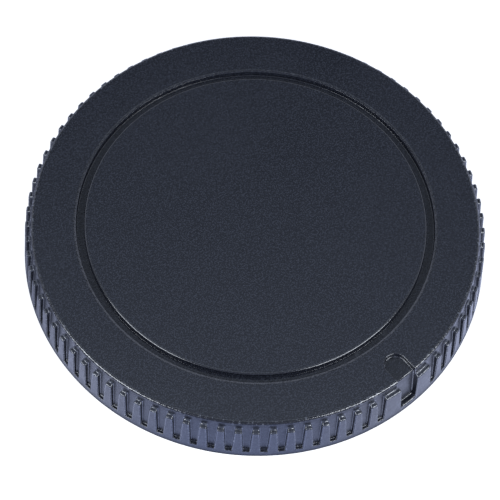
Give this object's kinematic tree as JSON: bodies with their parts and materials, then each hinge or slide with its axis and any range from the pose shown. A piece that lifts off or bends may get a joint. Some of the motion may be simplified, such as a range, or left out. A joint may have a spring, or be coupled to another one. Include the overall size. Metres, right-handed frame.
{
  "type": "camera body cap",
  "caption": "Round moulded plastic cap that closes a camera's lens opening, with a ribbed grip skirt, an index slot, and a bayonet barrel with lugs on its hollow side.",
  "frame": {"origin": "centre of the foot of the skirt, the plane that the cap rests on", "axes": "+Z is the cap's axis, out of its plain face, and the index slot faces -Y"},
  "size_m": [0.062, 0.062, 0.0073],
  "materials": {
    "cap_plastic": "fine spark-eroded grain, matte black"
  },
  "bodies": {
    "root": {"body_cap": "cap_plastic"}
  },
  "joints": []
}
